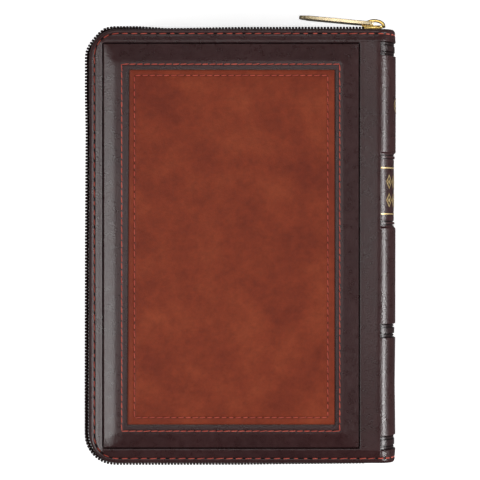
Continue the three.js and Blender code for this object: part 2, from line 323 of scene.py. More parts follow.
def padded_rows():
    """Rows from the window's edge over the frame seam and down the shoulder to the crease."""
    # The last number of each row marks painted shade: darkest on the window's cut edge, in the frame
    # seam's channel and in the crease.
    steps = [(WINDOW, 16.6, 1.0), (WINDOW, 17.1, 1.0), (WINDOW, 17.49, 0.9),
             (grown(WINDOW, 0.3), 17.5, 0.1),
             (mixed(grown(WINDOW, 0.3), FRAME_SEAM, 0.45), 17.5, 0.0)]
    steps += [(grown(FRAME_SEAM, away), z, mark) for away, z, mark in (
        (-0.75, 17.5, 0.0), (-0.4, 17.46, 0.2), (-0.2, 17.4, 0.8), (0.0, 17.36, 1.0),
        (0.2, 17.38, 0.8), (0.45, 17.38, 0.2))]
    start, foot, count = grown(FRAME_SEAM, 0.8), grown(CREASE, -0.3), 16
    for i in range(count + 1):
        fall = i / count
        *sides, corner = mixed(start, foot, fall)
        corner += 3.8 * min(1.0, fall / 0.4, (1 - fall) / 0.07)
        steps.append(((*sides, corner), fall, None))
    steps += [(grown(CREASE, away), between(CREASE_GROOVE, away), mark) for away, mark in (
        (-0.12, 0.8), (0.0, 1.0), (0.2, 0.8))]
    return steps


def askew(x, y):
    """The window is cut a little out of square at its fore-edge side."""
    near = max(0.0, 1 - abs(x + 52.0) / 2.2)
    return x - 0.95 * near * (0.5 - y / 168)


def edge_rows():
    """Rows from the crease over the thin border, its sewn channel and its turned-in edge."""
    inner = (CREASE[0] - 0.2, SEAM_X, CREASE[2] - 0.2, CREASE[3] + 0.2, 0.5)
    # The marks paint shade: in the crease, in the sewn channel, and a little on the underside of the
    # turned-in edge.
    rows = [(rail(inner), 14.45, 0.8)]
    for share in (0.05, 0.09, 0.14, 0.18, 0.23, 0.32, 0.44, 0.56, 0.68, 0.78):
        rows.append((rail(mixed(inner, EDGE_SEAM, share)), None, 0.5 if share < 0.06 else 0.0))
    for away, z in EDGE_PROFILE[4:]:
        box = grown(EDGE_SEAM, away)
        mark = 1.0 if abs(away) < 0.3 and z > 13 else 0.3 if z < 12.3 else 0.0
        rows.append((rail((box[0], SEAM_X, *box[2:])), z, mark))
    for away, z in ((1.0, 10.6), (0.0, 11.3), (-1.5, 12.2), (-4.6, 13.35)):
        box = grown(EDGE_SEAM, away)
        rows.append((rail((box[0], SEAM_X, *box[2:])), z, 0.0))
    return rows


def edge_height(x, y):
    """Height of the border between the crease and the sewn channel."""
    x0, _, y0, y1, _ = EDGE_SEAM
    away = max(x0 - x, y0 - y, y - y1)
    return min(crease_height(x, y), between(EDGE_PROFILE, away))


for side, sign in SIDES:
    bm = bmesh.new()
    steps = padded_rows()
    top = [[(x, y, uneven(x, y, shoulder(z, x, y), 0.06)) if mark is None else (askew(x, y), y, z)
            for x, y in outline(box)] for box, z, mark in steps]
    under = [[(x, y, z - SKIN) for x, y, z in row] for row in reversed(top[3:])]
    marks = [mark or 0.0 for _, _, mark in steps] + [0.0] * len(under)
    loft(bm, top + under, closed=True, ring=True, pressed_and_shade=marks)
    rows = edge_rows()
    lines = [[(x, y, uneven(x, y, edge_height(x, y), 0.06) if z is None else z) for x, y in line]
             for line, z, _ in rows]
    loft(bm, lines, closed=False, ring=True, capped=True, pressed_and_shade=[mark for _, _, mark in rows])
    skin = piece(f"{side}_cover_skin", bm, frame_leather, sign, 60)
    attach(skin, f"{side}_cover")
    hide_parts(f"{side}_cover_leather")

# ------------------------------------------------------------------ inlaid panel
# A separate panel of chestnut leather fills the window in the frame, with a sewn channel
# near its edge. It is glued to the same foam pad, its colour rubbed unevenly by hand.
PANEL = (-51.9, 45.0, -84.4, 82.7, 0.7)
PANEL_SEAM = (-49.4, 41.5, -80.9, 79.9, 0.9)
# The last colour is the painted shade of the panel's cut edge and sewn channel.
inlay_leather = leather("inlay_leather",
                        ((0.3, (0.215, 0.031, 0.0125)), (0.5, (0.275, 0.043, 0.0155)),
                         (0.72, (0.345, 0.062, 0.022))),
                        48.0, 330.0, (0.1, 0.016, 0.007), 0.42, grain=1300, bump=0.28, polish=0.0)

for side, sign in SIDES:
    # The marks paint shade along the panel's cut edge, under the frame's edge, and in its sewn
    # channel.
    steps = [(grown(PANEL, -inset), z, mark) for inset, z, mark in (
        (0.3, 17.3, 0.95), (0.55, 17.33, 0.2), (0.9, 17.38, 0.0), (1.6, 17.43, 0.0))]
    steps += [(grown(PANEL_SEAM, away), z, mark) for away, z, mark in (
        (0.7, 17.45, 0.0), (0.4, 17.42, 0.3), (0.2, 17.36, 0.7), (0.0, 17.33, 0.9),
        (-0.2, 17.36, 0.7), (-0.4, 17.42, 0.3), (-0.8, 17.46, 0.0), (-3.0, 17.48, 0.0))]
    middle = (-4.2, -3.8, -38.0, 37.0, 0.2)
    steps += [(mixed(grown(PANEL_SEAM, -3.0), middle, i / 9), 17.48, 0.0) for i in range(1, 10)]
    bm = bmesh.new()
    rows = [(PANEL, 16.6, 1.0), (PANEL, 17.28, 1.0)] + steps
    top = [[(askew(x, y), y, uneven(x, y, z, 0.02)) for x, y in outline(box)] for box, z, _ in rows]
    loft(bm, top, closed=True, capped=True, pressed_and_shade=[mark for _, _, mark in rows])
    panel = piece(f"{side}_cover_panel", bm, inlay_leather, sign, 60)
    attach(panel, f"{side}_cover")
    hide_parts(f"{side}_cover_inlay")

# ------------------------------------------------------------------ pad and board
# A sheet of foam with a sloping edge lies on a grey bookbinder's board and gives each cover
# its padded middle. Both are glued under the leather and are hidden in a closed book.
foam_finish, *_ = figured("foam", 0.95, "TexVoronoi", {"Scale": 1400.0},
                          ((0.0, (0.42, 0.4, 0.35)), (0.6, (0.66, 0.64, 0.58))), 0.6, 0.0004)
board_finish, *_ = figured("grey_board", 0.9, "TexNoise",
                           {"Scale": 900.0, "Detail": 6, "Roughness": 0.75},
                           ((0.3, (0.2, 0.175, 0.14)), (0.7, (0.32, 0.285, 0.235))), 0.3, 0.0002)

PAD_SLOPE = ((5.0, 14.62), (4.6, 14.8), (2.8, 15.5), (1.2, 16.1), (-0.8, 16.4), (-4.0, 16.48))
for side, sign in SIDES:
    bm = bmesh.new()
    rows = [at_height(outline(grown(FRAME_SEAM, away)), z, 0.01) for away, z in PAD_SLOPE]
    loft(bm, rows, closed=True, capped=True)
    pad = piece(f"{side}_cover_pad", bm, foam_finish, sign, 70)
    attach(pad, f"{side}_cover")
    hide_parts(f"{side}_cover_foam")
    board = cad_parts[f"{side}_cover_board"]
    board.data.materials.clear()
    board.data.materials.append(board_finish)

# ------------------------------------------------------------------ lining
# The inside of each cover is lined with thin dark leatherette, glued down flat over the
# board and dipping at the edge, where it covers the flange of the zipper tape.
lining_finish = leather("lining_leatherette",
                        ((0.3, (0.022, 0.0085, 0.0095)), (0.7, (0.034, 0.013, 0.0145))),
                        60.0, 300.0, (0.01, 0.004, 0.004), 0.55, grain=2300, bump=0.06, polish=0.0)

for side, sign in SIDES:
    flat = (-62.0, 56.3, -93.4, 93.4, 6.0)
    rim = (-67.2, 56.6, -98.7, 98.7, 9.0)
    under = [(mixed(flat, rim, t), 12.6 - 1.0 * t * t) for t in (0.0, 0.2, 0.4, 0.6, 0.8, 1.0)]
    over = [(box, z + 0.4) for box, z in reversed(under)]
    bm = bmesh.new()
    loft(bm, [at_height(outline(box), z, 0.02) for box, z in under + over], closed=True, capped=True)
    lining = piece(f"{side}_cover_lining_skin", bm, lining_finish, sign, 50)
    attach(lining, f"{side}_cover")
    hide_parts(f"{side}_cover_lining")

# ------------------------------------------------------------------ spine and hinges
# One strip of the same leather makes the rounded back of the case and the two flexing
# hinges. It is moulded over a stiff card, with sunken bands and one sunken label.
SPINE_X, SPINE_DEEP, SPINE_HALF = 64.2, 10.5, 14.86
SPINE_ENDS = (EDGE_SEAM[2] - 2.5, EDGE_SEAM[3] + 2.5)
BANDS = (93.2, -40.45, -93.4)
PLATE_TOP, PLATE_END = 43.4, 8.9
PLATE_RIDGES = (41.8, 10.6)
BAND_HALF = 3.05
PRESSED, RIDGE, GROOVE = 0.85, 0.5, 1.4  # how deep the bands, their ridges and grooves lie


def sunken(y):
    """How far the spine leather is pressed in at a height along the spine."""
    depth = 0.0
    for middle in BANDS:
        away = abs(y - middle)
        if away < BAND_HALF + 0.4:
            level = PRESSED if away < BAND_HALF else PRESSED * (1 - (away - BAND_HALF) / 0.4)
            if away < 1.35:
                level = RIDGE
            if 1.45 < away < 1.9 or 2.65 < away < BAND_HALF:
                level = GROOVE
            depth = max(depth, level)
    if PLATE_END - 0.8 < y < PLATE_TOP + 0.8:
        away = max(PLATE_END - y, y - PLATE_TOP, 0)
        level = PRESSED * (1 - away / 0.8)
        for ridge in PLATE_RIDGES:
            if abs(y - ridge) < 0.6:
                level = RIDGE
            elif abs(y - ridge) < 1.0:
                level = GROOVE
        depth = max(depth, level)
    return depth


def past_seam(y):
    """How far a place lies past the seam at the head or the tail, towards the end."""
    return max(y - EDGE_SEAM[3], EDGE_SEAM[2] - y)


def spine_stations():
    """Places along the spine, close together where it is pressed."""
    marks, y = [], SPINE_ENDS[0]
    edges = [m + s * BAND_HALF for m in BANDS for s in (-1, 1)]
    edges += [PLATE_TOP, PLATE_END, *PLATE_RIDGES, *BANDS]
    while y < SPINE_ENDS[1]:
        marks.append(y)
        near = min(abs(y - e) for e in edges)
        y += 0.16 if near < 3.4 or past_seam(y) > -2.5 else 1.2
    return marks + [SPINE_ENDS[1]]


def end_drop(y):
    """How far the leather dips towards the head and the tail, past the sewn channel."""
    return 14.86 - between(EDGE_PROFILE, past_seam(y))


SPINE_SINK = ((-103.0, 0.2), (-90.0, 0.25), (-65.0, 0.5), (-45.0, 0.25), (20.0, 0.1), (60.0, 0.0))
CARD_DEEP = 9.05  # the stiff card reaches nearly this deep, to just short of both ends


def spine_point(turn, y, lift=0.0):
    """A point on the round back, the turn measured from the middle plane, in radians."""
    from_top = math.degrees(math.pi / 2 - abs(turn))
    mask = min(max((from_top - 12.8) / 2.0, 0.0), 1.0)
    shoulder = 0.22 + 0.78 * math.sin(turn) ** 4
    drop = sunken(y) * mask + end_drop(y) * shoulder + 0.3 * max(0, 1 - abs(past_seam(y)) / 0.4)
    if 12.4 < from_top < 14.5 and sunken(y) > 0.4:
        drop += 0.35
    a, b = SPINE_DEEP - between(SPINE_SINK, y) + lift - drop * 0.97, SPINE_HALF + lift - drop
    if past_seam(y) < -0.5:
        a = max(a, CARD_DEEP + lift)
    return (SPINE_X + a * math.cos(turn), y, b * math.sin(turn))


stations = spine_stations()
# turns round the spine in degrees, close together where the bands start
turns = [4.0 * i for i in range(18)] + [72.0 + 0.85 * i for i in range(11)]
turns += [82.5, 85.0, 87.5, 90.0]
turns = [-t for t in reversed(turns[1:])] + turns
bm = bmesh.new()
bmesh.ops.create_grid(bm, x_segments=len(turns) - 1, y_segments=len(stations) - 1, size=1)
layer = bm.verts.layers.float.new("pressed_and_shade")
for vert in bm.verts:
    turn = math.radians(turns[round((vert.co.x + 1) / 2 * (len(turns) - 1))])
    y = stations[round((vert.co.y + 1) / 2 * (len(stations) - 1))]
    # Painted shade and pressed leather: darkest in the sewn channels and the deep grooves, a little
    # darker over the rest of each band.
    banded = any(abs(y - middle) < BAND_HALF + 0.3 for middle in BANDS) and abs(turn) < 1.35
    deep = sunken(y) > 1.2 and abs(turn) < 1.35
    sewn = end_drop(y) > 1.4 and past_seam(y) < 0.4
    vert[layer] = 0.9 if sewn else 1.0 if deep else 0.6 if banded else 0.0
    bump = 0.03 * noise.noise(Vector((turn, y * 0.05, 0)))
    vert.co = Vector(spine_point(turn, y)) + Vector((0, 0, bump))
facing(bm, bm.faces[:], 0)
bmesh.ops.solidify(bm, geom=bm.faces[:], thickness=0.9)
spine_skin = piece("spine_skin", bm, frame_leather, 1, 60)
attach(spine_skin, "text_block")
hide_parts("spine_leather")

stiffener_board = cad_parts["spine_stiffener"]
stiffener_board.data.materials.clear()
stiffener_board.data.materials.append(board_finish)

HINGE_STEPS = 26
for side, sign in SIDES:
    bm = bmesh.new()
    bmesh.ops.create_grid(bm, x_segments=HINGE_STEPS, y_segments=len(stations) - 1, size=1)
    layer = bm.verts.layers.float.new("pressed_and_shade")
    for vert in bm.verts:
        share = (vert.co.x + 1) / 2
        x = SEAM_X + (SPINE_X - SEAM_X) * share ** 1.6
        y = stations[round((vert.co.y + 1) / 2 * (len(stations) - 1))]
        z = min(crease_height(x, y), 14.93 if share < 0.6 else 14.86) - end_drop(y)
        # Painted shade in the crease by the cover and in the sewn channels at the ends.
        creased, sewn = x < SEAM_X + 0.15 and past_seam(y) < -5, abs(past_seam(y)) < 0.3
        vert[layer] = 0.8 if creased else 1.0 if sewn else 0.0
        vert.co = (x, y, z)
    facing(bm, bm.faces[:], 2)
    bmesh.ops.solidify(bm, geom=bm.faces[:], thickness=0.9)
    hinge = piece(f"{side}_hinge_skin", bm, frame_leather, sign, 60)
    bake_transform(hinge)
    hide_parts(f"{side}_hinge_leather")

# ------------------------------------------------------------------ stitching
# Red thread is sewn in four lines: round the frame, round the panel, and near the turned-in
# edge of the whole case. Each stitch is a plump twist that sinks a little in its channel.
thread_finish, thread_shader, *_ = figured(
    "red_thread", 0.62, "TexNoise", {"Scale": 150.0, "Detail": 3},
    ((0.3, (0.46, 0.042, 0.022)), (0.7, (0.66, 0.1, 0.055))), 0.4, 0.0002,
    waves=("DIAGONAL", {"Scale": 900.0, "Distortion": 1.5}))
thread_shader.inputs["Sheen Weight"].default_value = 0.25

STITCH_PITCH, EDGE_PITCH = 3.43, 4.5


def spaced(path, pitch):
    """Evenly spaced places along a line, each with the line's direction there."""
    lengths = [math.dist(a, b) for a, b in zip(path, path[1:])]
    count = max(1, round(sum(lengths) / pitch))
    found, travelled, index = [], 0.0, 0
    for number in range(count):
        target = (number + 0.5) * sum(lengths) / count
        while travelled + lengths[index] < target:
            travelled += lengths[index]
            index += 1
        a, b = path[index], path[index + 1]
        t = (target - travelled) / lengths[index]
        at = tuple(p + (q - p) * t for p, q in zip(a, b))
        found.append((at, math.atan2(b[1] - a[1], b[0] - a[0])))
    return found


def scattered(template, matrices):
    """A mesh that holds one copy of the template at each matrix."""
    bm = bmesh.new()
    one = bpy.data.meshes.new("one")
    template.to_mesh(one)
    template.free()
    for matrix in matrices:
        count = len(bm.verts)
        bm.from_mesh(one)
        bm.verts.ensure_lookup_table()
        bmesh.ops.transform(bm, matrix=matrix, verts=bm.verts[count:])
    bpy.data.meshes.remove(one)
    return bm


def stitch(length, width, height):
    bm = bmesh.new()
    bmesh.ops.create_uvsphere(bm, u_segments=8, v_segments=6, radius=1)
    bmesh.ops.rotate(bm, verts=bm.verts, matrix=Matrix.Rotation(math.pi / 2, 3, "Y"))
    for vert in bm.verts:
        vert.co.x = math.copysign(abs(vert.co.x) ** 0.7, vert.co.x)
    bmesh.ops.scale(bm, verts=bm.verts, vec=(length / 2, width / 2, height / 2))
    return bm


def square_corners(box):
    """Places of the stitches round a rectangle, each side sewn from corner to corner."""
    x0, x1, y0, y1, _ = box
    corners = [(x0, y0), (x1, y0), (x1, y1), (x0, y1), (x0, y0)]
    return [place for ends in zip(corners, corners[1:]) for place in spaced(ends, STITCH_PITCH)]


def lay(places, z, uneven_length=0.25, slant=4):
    """Where each stitch of a flat line goes: all lean to one side, and no two are quite alike."""
    found = []
    for (x, y), angle in places:
        chance = noise.noise(Vector((x * 0.83, y * 0.83, z)))
        lean = math.radians(slant + 4 * chance)
        found.append(Matrix.Translation((x, y, z)) @ Matrix.Rotation(angle + lean, 4, "Z")
                     @ Matrix.Diagonal((1 + uneven_length * chance, 1 - 0.3 * chance, 1, 1)))
    return found


for side, sign in SIDES:
    body = f"{side}_cover"
    edge_line = rail((EDGE_SEAM[0], SEAM_X - 0.8, *EDGE_SEAM[2:]))
    for name, places, z, size, uneven_length, node_name in (
        ("frame", square_corners(FRAME_SEAM), 17.4, (3.25, 0.5, 0.4), 0.2, "frame_stitching"),
        ("panel", square_corners(PANEL_SEAM), 17.36, (2.8, 0.4, 0.36), 0.4, "inlay_stitching"),
        ("edge", spaced(edge_line, EDGE_PITCH), 13.38, (3.1, 0.54, 0.5), 0.75, "edge_stitching"),
    ):
        bm = scattered(stitch(*size), lay(places, z, uneven_length))
        thread = piece(f"{side}_{name}_stitches", bm, thread_finish, sign)
        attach(thread, body)
        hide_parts(f"{side}_{node_name}")
    crossing = [((x, y), 0.0) for x in (58.3, 62.3) for y in EDGE_SEAM[2:4]]
    bm = scattered(stitch(3.3, 0.54, 0.5), lay(crossing, 13.38))
    thread = piece(f"{side}_hinge_stitches", bm, thread_finish, sign)
    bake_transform(thread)

for name, y in (("tail", EDGE_SEAM[2]), ("head", EDGE_SEAM[3])):
    curve = [spine_point(math.radians(turn), y, 0.12) for turn in range(-86, 87, 2)]
    matrices = []
    flat = [(x, z) for x, _, z in curve]
    for (x, z), angle in spaced(flat, 3.9):
        spot = Matrix.Translation((x, y, z)) @ Matrix.Rotation(math.pi / 2, 4, "X")
        matrices.append(spot @ Matrix.Rotation(angle, 4, "Z"))
    bm = scattered(stitch(2.8, 0.6, 0.85), matrices)
    thread = piece(f"spine_{name}_stitches", bm, thread_finish)
    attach(thread, "text_block")
    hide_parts(f"spine_{name}_stitching")

# ------------------------------------------------------------------ gilt work on the spine
# Gold foil is stamped into the spine leather: two rules and two rows of small lozenges on
# the sunken panel, and one oval flower near the head.
foil_finish, *_ = figured("gold_foil", 0.42, "TexNoise", {"Scale": 700.0, "Detail": 4},
                          ((0.3, (0.72, 0.5, 0.2)), (0.65, (1.0, 0.8, 0.42))), 0.2, 0.0001,
                          metallic=0.7)

ARC_MM = 12.6  # length of leather that one radian of the spine's turn takes


def wrapped(bm, thick=0.05):
    """Wraps flat foil, drawn across and along the spine, round the leather."""
    bmesh.ops.solidify(bm, geom=bm.faces[:], thickness=thick)
    for vert in bm.verts:
        vert.co = spine_point(vert.co.x / ARC_MM, vert.co.y, 0.06 + vert.co.z)
    return bm


def petal_ring(bm, cx, cy, wide, tall, line, corners):
    """An outline of even width: a lozenge with four corners, an oval with more."""
    rims = []
    for shrink in (0, line) if line else (0,):
        rims += bmesh.ops.create_circle(bm, radius=1, segments=corners, cap_ends=not line)["verts"]
        bmesh.ops.scale(bm, verts=rims[-corners:], vec=(wide - shrink, tall - shrink * 1.2, 1))
    bmesh.ops.translate(bm, verts=rims, vec=(cx, cy, 0))
    if line:
        own = set(rims)
        bmesh.ops.bridge_loops(bm, edges=[e for e in bm.edges if own.issuperset(e.verts)])


def foil(name, bm):
    for _ in range(3):
        long = [e for e in bm.edges if abs(e.verts[0].co.x - e.verts[1].co.x) > 1.2]
        bmesh.ops.subdivide_edges(bm, edges=long, cuts=1)
    made = piece(name, wrapped(bm), foil_finish)
    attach(made, "text_block")


for name, y in (("upper", 36.7), ("lower", 14.9)):
    bm = bmesh.new()
    bmesh.ops.create_grid(bm, x_segments=48, y_segments=1, size=1)
    bmesh.ops.scale(bm, verts=bm.verts, vec=(16.4, 0.28, 1))
    bmesh.ops.translate(bm, verts=bm.verts, vec=(0, y, 0))
    foil(f"spine_{name}_rule", bm)

for name, y in (("upper", 30.15), ("lower", 21.4)):
    bm = bmesh.new()
    for column in range(-2, 3):
        x = column * 5.1
        petal_ring(bm, x, y, 2.4, 3.4, 0.6, 4)
        petal_ring(bm, x, y, 0.8, 1.2, 0, 4)
    foil(f"spine_{name}_lozenges", bm)

FLOWER_Y = 66.45
bm = bmesh.new()
petal_ring(bm, 0, FLOWER_Y, 6.4, 3.6, 0.55, 28)
for x, y, wide, tall in ((2.5, 0, 1.7, 0.8), (-2.5, 0, 1.7, 0.8),
                         (0, 1.3, 0.8, 0.9), (0, -1.3, 0.8, 0.9)):
    petal_ring(bm, x, FLOWER_Y + y, wide, tall, 0, 12)
foil("spine_flower", bm)

# ------------------------------------------------------------------ leaves
# Thin paper leaves, gilt along the three open edges and rounded at two corners. Most stay
# in the sewn block; a flyleaf and two sections on each side turn with the cover.
paper_finish, *_ = figured("paper", 0.8, "TexNoise",
                           {"Scale": 500.0, "Detail": 5, "Roughness": 0.65},
                           ((0.3, (0.72, 0.66, 0.52)), (0.7, (0.82, 0.77, 0.64))), 0.12, 0.0001)

gilt_finish, *_ = figured(
    "gilt_edges", 0.34, "TexNoise", {"Scale": 90.0, "Detail": 3},
    ((0.3, (0.68, 0.45, 0.17)), (0.7, (0.9, 0.64, 0.28))), 0.5, 0.0001, metallic=0.55,
    waves=("Z", {"Scale": 900.0, "Distortion": 2.0, "Detail": 2, "Detail Scale": 0.4}))

LEAF_CORNER = 6.0
LEAF_BEND = 15.0  # how much of a turning leaf bends, from its sewn edge
(leaf_x0, leaf_y0, _), (leaf_x1, leaf_y1, _) = (Vector(c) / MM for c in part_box("back_flyleaf"))


def leaf_piece(name, bm):
    """Leaves of paper, gilt on every edge but the sewn one."""
    made = piece(name, bm, paper_finish, 1, 30)
    made.data.materials.append(gilt_finish)
    for face in made.data.polygons:
        if abs(face.normal.z) < 0.7 and face.center.x < leaf_x1 * MM - 1e-4:
            face.material_index = 1
    return made


def heights(name):
    low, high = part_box(name)
    return (low.z - MIDDLE) / MM, (high.z - MIDDLE) / MM


def turning_leaves(name, low, high, body):
    """A bundle of leaves, drawn flat, with close columns near its sewn edge where it bends as it
    turns.
    """
    fore, root = leaf_x0 + LEAF_CORNER, leaf_x1 - LEAF_BEND
    columns = [leaf_x0 + LEAF_CORNER * (1 - math.cos(math.radians(turn)))
               for turn in range(0, 91, 15)]
    columns += [fore + (root - leaf_x0 - LEAF_CORNER) * share / 8 for share in range(1, 9)]
    columns += [root + LEAF_BEND * share / 20 for share in range(1, 21)]
    bm = bmesh.new()
    bmesh.ops.create_grid(bm, x_segments=len(columns) - 1, y_segments=24, size=1)
    for vert in bm.verts:
        x = columns[round((vert.co.x + 1) / 2 * (len(columns) - 1))]
        short = max(LEAF_CORNER - (x - leaf_x0), 0.0)
        rounded = math.sqrt(max(LEAF_CORNER * LEAF_CORNER - short * short, 0.0))
        reach = (leaf_y1 - leaf_y0) / 2 - LEAF_CORNER + rounded
        vert.co = (x, (leaf_y0 + leaf_y1) / 2 + vert.co.y * reach, high)
    facing(bm, bm.faces[:], 2)
    bmesh.ops.solidify(bm, geom=bm.faces[:], thickness=high - low)
    made = leaf_piece(name, bm)
    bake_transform(made)
    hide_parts(body)


ribbon_low, _ = heights("ribbon_marker")
block_half = ribbon_low - 0.1
rows = []
for share, inset in ((-1, 0.12), (-0.76, 0.03), (0, 0), (0.76, 0.03), (1, 0.12)):
    shape = grown((leaf_x0, leaf_x1, leaf_y0, leaf_y1, LEAF_CORNER), -inset)
    rows.append([(min(x, leaf_x1 - 0.01), y, block_half * share)
                 for x, y in rail(shape, across=24, up=30)])
bm = bmesh.new()
loft(bm, rows, closed=True, capped=True)
block = leaf_piece("leaf_block", bm)
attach(block, "text_block")
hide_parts("page_block")
for side, _ in SIDES:
    for name in ("flyleaf", "outer_pages", "inner_pages"):
        turning_leaves(f"{side}_{name}_leaves", *heights(f"{side}_{name}"), f"{side}_{name}")

# ------------------------------------------------------------------ back of the leaves
# The folded sections are glued and rounded at the spine, covered with a cloth lining, with
# a striped silk band sewn on at the head and at the tail, and a satin ribbon to mark a page.
def woven(name, roughness, scale, stops, strength):
    """Threads that cross: waves along X and Y together, broken by waves along Z."""
    made, shader = material(name, roughness)
    place = node(made, "TexCoord")
    total = node(made, "Math", operation="ADD")
    threads = node(made, "Math", operation="MULTIPLY")
    wire(made, total, "Value", threads, 0)
    for direction, target, entry in (("X", total, 0), ("Y", total, 1), ("Z", threads, 1)):
        band = node(made, "TexWave", {"Scale": scale, "Distortion": 0.4}, bands_direction=direction)
        wire(made, place, "Object", band, "Vector")
        wire(made, band, "Fac", target, entry)
    tint = ramp(made, threads, "Value", stops)
    wire(made, tint, "Color", shader, "Base Color")
    weave = node(made, "Bump", {"Strength": strength, "Distance": 0.0002})
    wire(made, threads, "Value", weave, "Height")
    wire(made, weave, "Normal", shader, "Normal")
    return made, shader


cloth_finish, _ = woven("woven_cloth", 0.88, 620.0,
                        ((0.3, (0.022, 0.009, 0.009)), (0.75, (0.05, 0.02, 0.019))), 0.5)
satin_finish, satin_shader = woven("satin", 0.38, 1500.0,
                                   ((0.3, (0.18, 0.014, 0.024)), (0.75, (0.3, 0.028, 0.042))), 0.25)
satin_shader.inputs["Sheen Weight"].default_value = 0.3
satin_shader.inputs["Anisotropic"].default_value = 0.5

LEAF_X, ROUND_DEEP, ROUND_HALF = 62.0, 4.5, 12.35


def round_strip(bm, deep, half, reach, y0, y1, steps, thick):
    """A strip bent round the back of the leaves."""
    made = bmesh.ops.create_grid(bm, x_segments=28, y_segments=steps, size=1)["verts"]
    for vert in made:
        turn = vert.co.x * math.radians(reach)
        y = y0 + (y1 - y0) * (vert.co.y + 1) / 2
        vert.co = (LEAF_X + deep * math.cos(turn), y, half * math.sin(turn))
    faces = [f for f in bm.faces if all(v in set(made) for v in f.verts)]
    facing(bm, faces, 0)
    bmesh.ops.solidify(bm, geom=faces, thickness=thick)


half_oval = [(LEAF_X + ROUND_DEEP * math.cos(math.radians(t)),
              ROUND_HALF * math.sin(math.radians(t))) for t in range(-90, 91, 6)]
bm = bmesh.new()
rows = [[(x, y, z) for x, z in half_oval] for y in (-92.9, -40.0, 40.0, 92.9)]
loft(bm, rows, closed=True, capped=True)
back = piece("leaf_block_back", bm, paper_finish, 1, 40)
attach(back, "text_block")
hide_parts("page_block")

bm = bmesh.new()
round_strip(bm, ROUND_DEEP + 0.55, ROUND_HALF + 0.5, 62, -88, 88, 40, 0.4)
lining = piece("spine_cloth", bm, cloth_finish, 1, 50)
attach(lining, "text_block")
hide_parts("spine_lining")

band_finish, _, _, tint = figured("striped_silk", 0.5, "TexWave",
                                  {"Scale": 160.0, "Distortion": 0.3},
                                  ((0.4, (0.28, 0.02, 0.03)), (0.6, (0.75, 0.62, 0.4))),
                                  0.5, 0.0003, bands_direction="Z")
tint.color_ramp.interpolation = "CONSTANT"
for name, y in (("headband", 93.9), ("tailband", -93.9)):
    bm = bmesh.new()
    curve = [(LEAF_X + 4.0 * math.cos(math.radians(t)), 11.6 * math.sin(math.radians(t)))
             for t in range(-84, 85, 3)]
    rows = []
    for x, z in curve:
        rows.append([(x + 0.75 * math.cos(math.radians(a)), y + 0.75 * math.sin(math.radians(a)), z)
                     for a in range(0, 360, 36)])
    loft(bm, rows, closed=True, capped=True)
    band = piece(f"{name}_silk", bm, band_finish, 1, 50)
    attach(band, "text_block")
    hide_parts(name)

ribbon_box = [Vector(c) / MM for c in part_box("ribbon_marker")]
bm = bmesh.new()
bmesh.ops.create_grid(bm, x_segments=6, y_segments=70, size=1)
for vert in bm.verts:
    across, along = (vert.co.x + 1) / 2, (vert.co.y + 1) / 2
    x = ribbon_box[0].x + (ribbon_box[1].x - ribbon_box[0].x) * across
    tail_y = ribbon_box[0].y + 3.0 * (1 - across)
    y = tail_y + (ribbon_box[1].y - tail_y) * along
    vert.co = (x, y, ribbon_low + 0.04 + 0.12 * (0.5 + 0.5 * math.sin(along * 9)))
bmesh.ops.solidify(bm, geom=bm.faces[:], thickness=0.08)
ribbon = piece("ribbon", bm, satin_finish, 1, 60)
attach(ribbon, "text_block")
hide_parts("ribbon_marker")

# ------------------------------------------------------------------ zipper tapes and coils
# A dark nylon coil zipper closes the head, the fore-edge and the tail. Each tape is woven,
# glued between border and lining, and carries a sewn-on coil whose turns mesh in the middle.
TAPE_LINE = ((-67.6, 11.35), (-68.5, 10.8), (-69.5, 9.9), (-70.2, 8.7), (-70.8, 7.0),
             (-71.3, 5.0), (-71.7, 3.0), (-71.9, 1.0))
TAPE_BOX = (-68.5, 61.5, -99.2, 98.9, 10.0)
COIL_LINE = (-73.1, 59.8, -103.9, 103.3, 13.6)
TURN_PITCH = 1.52
coil_finish, coil_shader, *_ = figured("nylon_coil", 0.5, "TexNoise",
                                       {"Scale": 400.0, "Detail": 4},
                                       ((0.3, (0.014, 0.0055, 0.006)), (0.7, (0.03, 0.012, 0.012))),
                                       0.15, 0.0001)
coil_shader.inputs["Specular IOR Level"].default_value = 0.15

# How far the chain wanders outwards: along X at the head and the tail, along Y between them.
HEAD_SWAY = ((-62.0, 0.6), (-49.0, 0.6), (-35.0, -0.25), (-28.0, -0.2), (0.0, 0.2), (60.0, 0.35))
TAIL_SWAY = ((-62.0, 0.2), (0.0, 0.15), (60.0, -0.5))
FORE_SWAY = ((-100.0, 0.1), (-70.0, 0.1), (0.0, -0.1), (54.0, -0.4), (72.0, -0.05))


def waviness(x, y):
    """How far a sewn chain wanders outwards along its length, at one place."""
    turned = min(max((abs(y) - 89.4) / 13.0, 0.0), 1.0)
    end = between(HEAD_SWAY if y > 0 else TAIL_SWAY, x)
    if y > 0:
        end -= 1.9 * math.sin(turned * math.pi)  # tucked under the leather at the head corner
    return between(FORE_SWAY, y) * (1 - turned * turned) + end * turned * turned


def swayed(line, i, share):
    """A point of the line, moved out by a share of the waviness there."""
    (x, y), (ax, ay), (bx, by) = line[i], line[max(i - 1, 0)], line[min(i + 1, len(line) - 1)]
    long = math.hypot(bx - ax, by - ay)
    out = waviness(x, y) * share
    return x + out * (by - ay) / long, y - out * (bx - ax) / long


